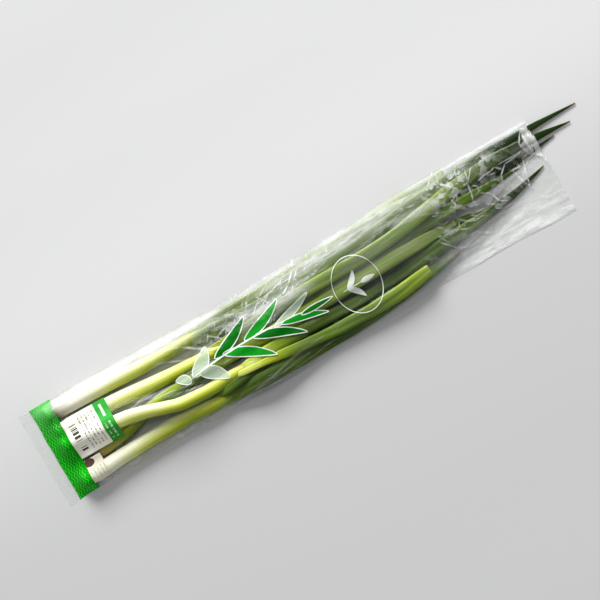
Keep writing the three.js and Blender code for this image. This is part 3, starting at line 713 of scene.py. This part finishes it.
# Crumpled film is flat between its creases, so each patch of it leans its own way. Some of the patches, and
# thin lines along their rims, are painted white as glints.
shake = node("ShaderNodeTexNoise", {"Vector": place, "Scale": 60.0, "Detail": 2.0})
shaken = node("ShaderNodeVectorMath", {0: shake.outputs["Color"], 1: (0.012, 0.008, 0)}, operation="MULTIPLY")
shaken = node("ShaderNodeVectorMath", {0: place, 1: shaken.outputs[0]}, operation="ADD").outputs[0]
relief, painted_glints = 0.0, 0.0
for scale, lean in ((75.0, 0.34), (170.0, 0.3)):
    patch = node("ShaderNodeTexVoronoi", {"Vector": shaken, "Scale": scale}, voronoi_dimensions="2D")
    rim = node("ShaderNodeTexVoronoi", {"Vector": shaken, "Scale": scale}, voronoi_dimensions="2D",
               feature="DISTANCE_TO_EDGE")
    arm = node("ShaderNodeVectorMath", {0: shaken, 1: patch.outputs["Position"]}, operation="SUBTRACT")
    way = node("ShaderNodeVectorMath", {0: patch.outputs["Color"], 1: (0.5, 0.5, 0.5)}, operation="SUBTRACT")
    tilt = node("ShaderNodeVectorMath", {0: arm.outputs[0], 1: way.outputs[0]}, operation="DOT_PRODUCT")
    relief = maths("ADD", relief, maths("MULTIPLY", tilt.outputs["Value"], lean))
    tone = node("ShaderNodeSeparateColor", {"Color": patch.outputs["Color"]}).outputs["Blue"]
    # painted glints: patches of one random tone, and the rims of others, are made white as if they reflected
    # the lamp
    painted_glints = maths("MAXIMUM", painted_glints, maths("MULTIPLY", steps(tone, 0.6, 0.8), 0.62))
    lines = maths("MULTIPLY", steps(rim.outputs["Distance"], 0.07, 0.0), steps(tone, 0.35, 0.9))
    painted_glints = maths("MAXIMUM", painted_glints, maths("MULTIPLY", lines, 0.75))
rumple = seen("rumpled")
height = maths("MULTIPLY", relief, maths("ADD", 0.25, maths("MULTIPLY", rumple, 1.2)))
bump = node("ShaderNodeBump", {"Height": height, "Strength": 1.0, "Distance": 1.0})
cloud = node("ShaderNodeTexNoise", {"Vector": place, "Scale": 38.0, "Detail": 5.0, "Roughness": 0.65})
patchy = steps(cloud.outputs["Fac"], 0.36, 0.6)
drawn_out = node("ShaderNodeMapping", {"Vector": shaken, "Scale": (0.16, 1.0, 1.0)}).outputs["Vector"]
streaks = node("ShaderNodeTexNoise", {"Vector": drawn_out, "Scale": 190.0, "Detail": 4.0, "Roughness": 0.6})
streaky = steps(streaks.outputs["Fac"], 0.36, 0.64)
# the veil's haze and painted glare, patchy and streaky, with whitened creases and painted glints over it
haze_and_glare = maths("ADD", maths("MULTIPLY", patchy, 0.2), maths("MULTIPLY", streaky, 0.5))
haze_and_glare = maths("MULTIPLY", seen("veil_and_glare"), maths("ADD", 0.5, haze_and_glare))
haze_and_glare = maths("MAXIMUM", haze_and_glare, seen("white"))
haze_and_glare = maths("MAXIMUM", haze_and_glare, maths("MULTIPLY", maths("MULTIPLY", painted_glints, rumple), patchy))
haze_and_glare = maths("MINIMUM", haze_and_glare, 0.96)
facing = node("ShaderNodeLayerWeight", {"Blend": 0.5, "Normal": bump.outputs["Normal"]}).outputs["Facing"]
mirror = maths("ADD", 0.007, maths("MULTIPLY", maths("POWER", facing, 5.0), 0.4))
CLEAR, HAZE_AND_GLARE_TONE, CREASE_AND_GLINT_WHITE = (0.99, 0.995, 0.99, 1), (0.85, 0.86, 0.845, 1), (0.95, 0.96, 0.94, 1)
clear = node("ShaderNodeBsdfTransparent", {"Color": CLEAR})
gloss = node("ShaderNodeBsdfGlossy", {"Color": (1, 1, 1, 1), "Roughness": 0.12,
                                      "Normal": bump.outputs["Normal"]})
plain = node("ShaderNodeMixShader", {0: mirror, 1: clear.outputs[0], 2: gloss.outputs[0]})
# a white diffuse for the film's haze together with painted glare and glints, whiter along creases
whiter = node("ShaderNodeMix", {"Factor": seen("white"), "A": HAZE_AND_GLARE_TONE, "B": CREASE_AND_GLINT_WHITE}, data_type="RGBA")
haze_and_glare_shader = node("ShaderNodeBsdfDiffuse", {"Color": whiter.outputs["Result"]})
body = node("ShaderNodeMixShader", {0: haze_and_glare, 1: plain.outputs[0], 2: haze_and_glare_shader.outputs[0]})


# The print on the film, in millimetres: a green band with fine zigzag lines, a sprig of leaves with white
# outlines, and a thin ring round a small sprout.
def blade(x, y, angle, length, width, bend):
    """How far inside a curved pointed leaf a place is, in millimetres."""
    ca, sa = math.cos(math.radians(angle)), math.sin(math.radians(angle))
    dx, dy = maths("SUBTRACT", px, float(x)), maths("SUBTRACT", py, float(y))
    u = maths("DIVIDE", maths("ADD", maths("MULTIPLY", dx, ca), maths("MULTIPLY", dy, sa)), float(length))
    arch = maths("MULTIPLY", maths("MULTIPLY", u, maths("SUBTRACT", 1.0, u)), 4.0)
    v = maths("SUBTRACT", maths("SUBTRACT", maths("MULTIPLY", dy, ca), maths("MULTIPLY", dx, sa)),
              maths("MULTIPLY", arch, float(bend)))
    half = maths("MULTIPLY", maths("POWER", maths("MAXIMUM", arch, 0.0), 0.7),
                 maths("MULTIPLY", maths("SUBTRACT", 1.25, maths("MULTIPLY", u, 0.5)), float(width)))
    half = maths("ADD", half, maths("MULTIPLY", maths("MINIMUM", arch, 0.0), 60.0))
    return maths("SUBTRACT", half, maths("ABSOLUTE", v))


ink, cover = (1, 1, 1, 1), 0.0


def oval(x, y, half_x, half_y):
    """The square of how far out a place is from the middle of an oval, which is 1 at its edge."""
    return maths("ADD", maths("POWER", maths("DIVIDE", maths("SUBTRACT", px, float(x)), half_x), 2.0),
                 maths("POWER", maths("DIVIDE", maths("SUBTRACT", py, float(y)), half_y), 2.0))


def printed(mask, colour, strength):
    """Lays one more colour of ink over what is printed so far."""
    global ink, cover
    ink = node("ShaderNodeMix", {"Factor": mask, "A": ink, "B": colour}, data_type="RGBA").outputs["Result"]
    left = maths("MULTIPLY", cover, maths("SUBTRACT", 1.0, mask))
    cover = maths("MAXIMUM", left, maths("MULTIPLY", mask, strength))


DARK, BRIGHT = (0.003, 0.15, 0.008, 1), (0.005, 0.3, 0.014, 1)
TINT, WHITE = (0.6, 0.75, 0.55, 1), (0.9, 0.95, 0.88, 1)
SPRIG = [(-138, -6, 150, 18, 5, -2, TINT), (-134, -3, 40, 36, 7, -3, TINT),
         (-126, -2, -38, 34, 7, 3, TINT), (-104, 3, 26, 56, 5.5, -3, DARK),
         (-94, 3, -30, 60, 5.5, 3, BRIGHT), (-66, 4, 22, 58, 5.2, -3, BRIGHT),
         (-56, 2, -24, 60, 5, 3, DARK), (-30, 0, 17, 52, 4, -2, TINT),
         (-22, -1, -15, 54, 4, 2, BRIGHT), (2, -3, 0, 40, 3, 0, DARK)]
for x, y, angle, length, width, bend, colour in SPRIG:
    deep = blade(x, y, angle, length, width, bend)
    printed(maths("GREATER_THAN", deep, 0.0), colour, 0.6 if colour is TINT else 0.96)
    printed(between(deep, -0.6, 0.5), WHITE, 0.85)
printed(maths("GREATER_THAN", blade(-142, -4, 1, 146, 0.9, 5), 0.0), WHITE, 0.85)
printed(between(maths("SQRT", oval(72, -5, 27.0, 33.0)), 0.983, 1.015), WHITE, 0.75)
SPROUT = [(54, -5, 0, 30, 0.7, 0), (60, -5, 48, 22, 3.2, -2), (60, -5, -48, 22, 3.2, 2),
          (76, -5, 0, 18, 3, 0)]
for x, y, angle, length, width, bend in SPROUT:
    printed(maths("GREATER_THAN", blade(x, y, angle, length, width, bend), 0.0), WHITE, 0.85)
cover = maths("MULTIPLY", cover, maths("GREATER_THAN", seen("top_side"), 0.5))
BAND, BAND_LIT, BAND_LINE = (0.001, 0.36, 0.002, 1), (0.02, 0.56, 0.03, 1), (0.07, 0.66, 0.06, 1)
ZIGZAG_LINES, ZIGZAG_WAVE = 3.7, 3.5  # from line to line, and from crest to trough
zig = node("ShaderNodeMath", {0: py, 1: ZIGZAG_WAVE}, operation="PINGPONG").outputs[0]
sway = maths("MULTIPLY", maths("SUBTRACT", cloud.outputs["Fac"], 0.5), 4.5)
line = maths("FRACT", maths("DIVIDE", maths("ADD", px, maths("MULTIPLY", zig, 0.75)), ZIGZAG_LINES))
band = between(maths("ADD", px, sway), -311.5, -285.6)
printed(band, BAND, 0.99)
# painted light: the band's upper part, towards the lamp, is printed lighter
painted_light_on_band = maths("MULTIPLY", steps(py, 8.0, 34.0), 0.6)
printed(maths("MULTIPLY", band, painted_light_on_band), BAND_LIT, 0.99)
lines = maths("MULTIPLY", between(line, 0.36, 0.6), between(px, -310.5, -289))
printed(maths("MULTIPLY", lines, band), BAND_LINE, 0.99)
inked = node("ShaderNodeBsdfPrincipled", {"Base Color": ink, "Roughness": 0.3, "Specular IOR Level": 0.035,
                                          "Normal": bump.outputs["Normal"]})
# the print shows less where the film is whitened by creases and painted glints
not_whitened = maths("SUBTRACT", 1.0, maths("MULTIPLY", seen("white"), 0.6))
surface = node("ShaderNodeMixShader", {0: maths("MULTIPLY", cover, not_whitened), 1: body.outputs[0],
                                       2: inked.outputs[0]})
node("ShaderNodeOutputMaterial", {"Surface": surface.outputs[0]})
mesh.materials.append(film_print)
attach(bag, "root")
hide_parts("bag")


# The labels
# Two thin paper stickers on the film. They bend with it over the shafts. The print on them is plain marks:
# a green header, bars, and rows of fine grey dashes on one, and a dark spot and dashes on the other.
PAPER, LIFT, GRID = 0.18, 0.3, 1.2  # their thickness, their height over the film, and their mesh's squares


def film_height(x, y):
    """How high the film's upper side is at a place."""
    row = np.clip(np.interp(x, xs, np.arange(ALONG)), 0, ALONG - 1.001)
    i = int(row)
    near, far = np.interp(y, Y[i], film[i]), np.interp(y, Y[i + 1], film[i + 1])
    return near + (far - near) * (row - i)


def sticker(name, x0, x1, y0, y1):
    """A sheet of paper bent over the film between two places along it and two across it."""
    bpy.ops.mesh.primitive_grid_add(x_subdivisions=int((x1 - x0) / GRID),
                                    y_subdivisions=int((y1 - y0) / GRID), size=1, location=(0, 0, 0))
    piece = bpy.context.object
    piece.name = name
    for vertex in piece.data.vertices:
        x, y = x0 + (x1 - x0) * (vertex.co.x + 0.5), y0 + (y1 - y0) * (vertex.co.y + 0.5)
        vertex.co = ((x - MIDDLE_X) * MM, y * MM, (film_height(x, y) + LIFT) * MM)
    bpy.ops.object.modifier_add(type="SOLIDIFY")
    piece.modifiers[0].thickness = PAPER * MM
    piece.modifiers[0].offset = 1
    bpy.ops.object.modifier_apply(modifier=piece.modifiers[0].name)
    bpy.ops.object.shade_smooth()
    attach(piece, "root")
    return piece


ROW, DASH, BAR = 4.2, 0.9, 0.75  # from row to row, and the width of a dash and of a bar
PAPER_TONES = {"price_label": (0.93, 0.91, 0.78, 1), "small_label": (0.74, 0.7, 0.56, 1)}
BLACK, GREY, SPOT = (0.05, 0.05, 0.05, 1), (0.24, 0.23, 0.22, 1), (0.1, 0.05, 0.035, 1)
HEADER, HEADER_END, PALE_MARK = (0.03, 0.4, 0.04, 1), (0.02, 0.33, 0.02, 1), (0.75, 0.85, 0.72, 1)
PALE_DASH, GREEN_DASH = (0.5, 0.72, 0.48, 1), (0.4, 0.5, 0.3, 1)
bpy.ops.object.select_all(action="DESELECT")
for name, (x0, x1, y0, y1) in LABELS.items():
    piece = sticker("sticker_" + name, x0, x1, y0, y1)
    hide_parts(name)
    paper, node, maths, steps = nodes_of(name + " paper")
    place, px, py = places(node, maths)
    fibres = node("ShaderNodeTexNoise", {"Vector": place, "Scale": 400.0})
    ink, cover = PAPER_TONES[name], 0.0
    row_share = maths("FRACT", maths("DIVIDE", px, ROW))
    cells = node("ShaderNodeCombineXYZ", {"X": maths("FLOOR", maths("DIVIDE", px, ROW)),
                                          "Y": maths("FLOOR", maths("DIVIDE", py, DASH))})
    dots = node("ShaderNodeTexWhiteNoise", {"Vector": cells.outputs[0]})
    dashes = maths("GREATER_THAN", dots.outputs["Value"], 0.35)
    if name == "price_label":
        bars = node("ShaderNodeTexWhiteNoise", {"Vector": node("ShaderNodeCombineXYZ", {
            "Y": maths("FLOOR", maths("DIVIDE", py, BAR))}).outputs[0]})
        code = maths("MULTIPLY", maths("GREATER_THAN", bars.outputs["Value"], 0.5), between(py, -12, 19))
        printed(maths("MULTIPLY", code, between(px, -280, -272.5)), BLACK, 1.0)
        rows = maths("MULTIPLY", maths("MULTIPLY", between(row_share, 0.3, 0.62), dashes),
                     between(px, -269, -247.5))
        printed(maths("MULTIPLY", rows, between(py, -14, 24)), GREY, 1.0)
        header = between(px, -246, -231)
        printed(header, HEADER, 1.0)
        printed(maths("MULTIPLY", header, between(py, -19, 6)), HEADER_END, 1.0)
        printed(maths("MULTIPLY", between(px, -240.5, -237.5), between(py, 10, 24)), PALE_MARK, 1.0)
        marks = maths("MULTIPLY", maths("MULTIPLY", between(px, -244, -234), dashes), between(py, -16, 3))
        marks = maths("MULTIPLY", marks, between(maths("FRACT", maths("DIVIDE", px, 5.2)), 0.2, 0.6))
        printed(marks, PALE_DASH, 1.0)
    else:
        printed(maths("LESS_THAN", oval(-281, -26, 6.5, 4.6), 1.0), SPOT, 1.0)
        rows = maths("MULTIPLY", between(row_share, 0.3, 0.6), dashes)
        printed(maths("MULTIPLY", rows, between(py, -46, -33)), GREEN_DASH, 1.0)
    grain = node("ShaderNodeBump", {"Height": fibres.outputs["Fac"], "Strength": 0.15, "Distance": 0.0003})
    surface = node("ShaderNodeBsdfPrincipled", {
        "Base Color": ink, "Normal": grain.outputs["Normal"], "Roughness": 0.5, "Specular IOR Level": 0.15})
    node("ShaderNodeOutputMaterial", {"Surface": surface.outputs["BSDF"]})
    piece.data.materials.append(paper)

low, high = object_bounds()
